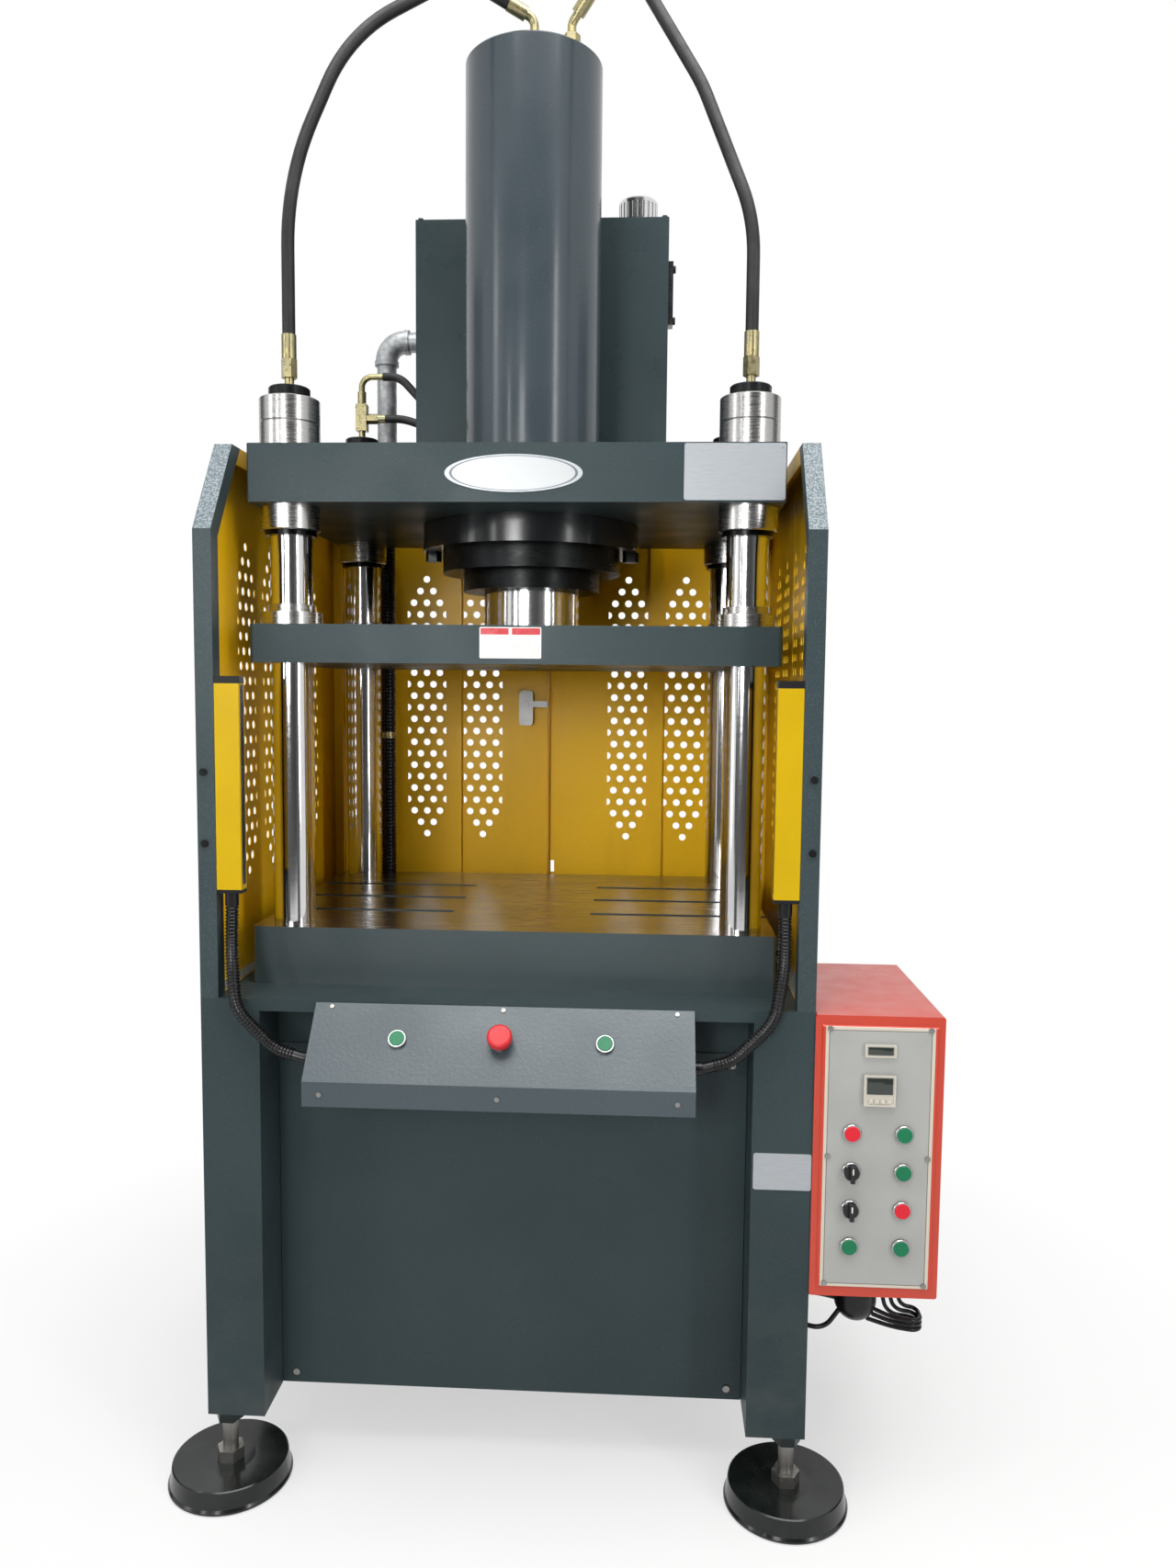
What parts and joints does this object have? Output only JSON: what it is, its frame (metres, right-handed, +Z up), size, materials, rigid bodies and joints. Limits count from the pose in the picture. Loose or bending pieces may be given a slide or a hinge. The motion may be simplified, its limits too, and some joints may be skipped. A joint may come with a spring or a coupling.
{
  "type": "four-column hydraulic press",
  "caption": "Four-column hydraulic press: bed, slide and crown on chromed columns, top cylinder and oil tank, perforated guards, sloping button console and side control box.",
  "frame": {"origin": "on the floor, under the middle of the whole machine as seen from above; the cylinder axis stands at x -0.064, y 0.008", "axes": "+Z up along the ram, -Y towards the operator, +X towards the control box"},
  "size_m": [1.2919, 0.968, 2.6323],
  "materials": {
    "base_frame": "semi-gloss textured paint",
    "front_cover": "semi-gloss textured paint",
    "foot_pads": "gloss black moulding",
    "levelling_screws": "bright zinc-plated steel",
    "bed_plate": "painted sides, ground top",
    "guide_columns": "ground and hard chromed",
    "column_nuts": "turned and polished",
    "column_collars": "turned and polished",
    "column_caps": "blackened steel",
    "crown_plate": "semi-gloss paint",
    "slide_plate": "semi-gloss paint",
    "guide_bushes": "polished flange",
    "slide_screws": "steel screws",
    "ram": "hard chromed",
    "cylinder_body": "painted barrel, black flange",
    "cylinder_gland": "blackened steel",
    "flange_bolts": "blackened bolts",
    "oil_tank": "semi-gloss paint",
    "tank_lid": "semi-gloss paint",
    "filler_cap": "chromed",
    "level_gauge": "satin frame",
    "filling_pipe": "galvanised",
    "suction_hose": "ribbed black hose",
    "pressure_hoses": "black rubber",
    "hose_fittings": "yellow zinc plate",
    "tee_hoses": "black rubber",
    "side_guard_left_front": "yellow inside, slate outside",
    "side_guard_left_rear": "yellow inside, slate outside",
    "side_guard_right_front": "yellow inside, slate outside",
    "side_guard_right_rear": "yellow inside, slate outside",
    "rear_door_left": "yellow inside, slate outside",
    "rear_door_right": "yellow inside, slate outside",
    "pins_and_screws": "steel pins and zinc-plated screws",
    "door_lock_body": "zinc die casting",
    "door_lock_tongue": "zinc-plated steel",
    "curtain_housings": "yellow powder coat",
    "curtain_windows": "dark window strip",
    "console_housing": "semi-gloss paint",
    "console_lid": "semi-gloss paint",
    "start_button_left": "green cap",
    "stop_button": "red mushroom cap",
    "start_button_right": "green cap",
    "control_box": "orange-red paint",
    "control_panel": "light grey face",
    "counter_and_timer": "dark display cases",
    "button_seats": "bright and dark rings",
    "button_power_red": "red cap",
    "button_return_green": "green cap",
    "selector_mode": "black knob",
    "button_jog_green": "green cap",
    "selector_height": "black knob",
    "button_halt_red": "red cap",
    "button_pump_green": "green cap",
    "button_reset_green": "green cap",
    "box_gear": "plain grey switchgear",
    "cables_and_conduits": "black",
    "glands_and_screws": "black",
    "pump_motor": "painted casting",
    "pump_and_valves": "plain steel blocks",
    "blank_plates": "brushed sheet"
  },
  "bodies": {
    "machine": {"base_frame": "base_frame", "front_cover": "front_cover", "foot_pads": "foot_pads", "levelling_screws": "levelling_screws", "bed_plate": "bed_plate", "guide_columns": "guide_columns", "column_nuts": "column_nuts", "column_collars": "column_collars", "column_caps": "column_caps", "crown_plate": "crown_plate", "cylinder_body": "cylinder_body", "cylinder_gland": "cylinder_gland", "flange_bolts": "flange_bolts", "oil_tank": "oil_tank", "tank_lid": "tank_lid", "level_gauge": "level_gauge", "filling_pipe": "filling_pipe", "suction_hose": "suction_hose", "pressure_hoses": "pressure_hoses", "hose_fittings": "hose_fittings", "tee_hoses": "tee_hoses", "side_guard_left_front": "side_guard_left_front", "side_guard_left_rear": "side_guard_left_rear", "side_guard_right_front": "side_guard_right_front", "side_guard_right_rear": "side_guard_right_rear", "pins_and_screws": "pins_and_screws", "curtain_housings": "curtain_housings", "curtain_windows": "curtain_windows", "console_housing": "console_housing", "console_lid": "console_lid", "control_box": "control_box", "control_panel": "control_panel", "counter_and_timer": "counter_and_timer", "button_seats": "button_seats", "box_gear": "box_gear", "cables_and_conduits": "cables_and_conduits", "glands_and_screws": "glands_and_screws", "pump_motor": "pump_motor", "pump_and_valves": "pump_and_valves", "blank_plates": "blank_plates"},
    "slide": {"slide_plate": "slide_plate", "guide_bushes": "guide_bushes", "slide_screws": "slide_screws", "ram": "ram"},
    "left_door": {"rear_door_left": "rear_door_left", "door_lock_body": "door_lock_body"},
    "right_door": {"rear_door_right": "rear_door_right"},
    "lock": {"door_lock_tongue": "door_lock_tongue"},
    "start_left": {"start_button_left": "start_button_left"},
    "start_right": {"start_button_right": "start_button_right"},
    "stop": {"stop_button": "stop_button"},
    "power_red": {"button_power_red": "button_power_red"},
    "return_green": {"button_return_green": "button_return_green"},
    "jog_green": {"button_jog_green": "button_jog_green"},
    "halt_red": {"button_halt_red": "button_halt_red"},
    "pump_green": {"button_pump_green": "button_pump_green"},
    "reset_green": {"button_reset_green": "button_reset_green"},
    "mode": {"selector_mode": "selector_mode"},
    "height": {"selector_height": "selector_height"},
    "filler": {"filler_cap": "filler_cap"}
  },
  "joints": [
    {"name": "press_stroke", "type": "slide", "parent": "machine", "child": "slide", "axis": [0, 0, 1], "range_m": [-0.4, 0]},
    {"name": "left_door_swing", "type": "hinge", "parent": "machine", "child": "left_door", "pos_m": [-0.5375, 0.419, 1.3], "axis": [0, 0, 1], "range_deg": [0, 110]},
    {"name": "right_door_swing", "type": "hinge", "parent": "machine", "child": "right_door", "pos_m": [0.4095, 0.419, 1.3], "axis": [0, 0, -1], "range_deg": [0, 110]},
    {"name": "lock_turn", "type": "hinge", "parent": "left_door", "child": "lock", "pos_m": [-0.115, 0.408, 1.335], "axis": [0, 1, 0], "range_deg": [0, 90]},
    {"name": "start_left_push", "type": "slide", "parent": "machine", "child": "start_left", "axis": [0, 0.7743, -0.6328], "range_m": [0, 0.004], "stiffness_N_per_m": 400, "springref_m": -0.003},
    {"name": "start_right_push", "type": "slide", "parent": "machine", "child": "start_right", "axis": [0, 0.7743, -0.6328], "range_m": [0, 0.004], "stiffness_N_per_m": 400, "springref_m": -0.003},
    {"name": "stop_push", "type": "slide", "parent": "machine", "child": "stop", "axis": [0, 0.7743, -0.6328], "range_m": [0, 0.005], "stiffness_N_per_m": 400, "springref_m": -0.003},
    {"name": "power_red_push", "type": "slide", "parent": "machine", "child": "power_red", "axis": [0, 1, 0], "range_m": [0, 0.004], "stiffness_N_per_m": 400, "springref_m": -0.003},
    {"name": "return_green_push", "type": "slide", "parent": "machine", "child": "return_green", "axis": [0, 1, 0], "range_m": [0, 0.004], "stiffness_N_per_m": 400, "springref_m": -0.003},
    {"name": "jog_green_push", "type": "slide", "parent": "machine", "child": "jog_green", "axis": [0, 1, 0], "range_m": [0, 0.004], "stiffness_N_per_m": 400, "springref_m": -0.003},
    {"name": "halt_red_push", "type": "slide", "parent": "machine", "child": "halt_red", "axis": [0, 1, 0], "range_m": [0, 0.004], "stiffness_N_per_m": 400, "springref_m": -0.003},
    {"name": "pump_green_push", "type": "slide", "parent": "machine", "child": "pump_green", "axis": [0, 1, 0], "range_m": [0, 0.004], "stiffness_N_per_m": 400, "springref_m": -0.003},
    {"name": "reset_green_push", "type": "slide", "parent": "machine", "child": "reset_green", "axis": [0, 1, 0], "range_m": [0, 0.004], "stiffness_N_per_m": 400, "springref_m": -0.003},
    {"name": "mode_turn", "type": "hinge", "parent": "machine", "child": "mode", "pos_m": [0.5015, -0.403, 0.597], "axis": [0, 1, 0], "range_deg": [-45, 45]},
    {"name": "height_turn", "type": "hinge", "parent": "machine", "child": "height", "pos_m": [0.5015, -0.403, 0.534], "axis": [0, 1, 0], "range_deg": [-45, 45]},
    {"name": "filler_turn", "type": "hinge", "parent": "machine", "child": "filler", "pos_m": [0.131, 0.223, 2.34], "axis": [0, 0, 1], "range_deg": [0, 270]}
  ]
}
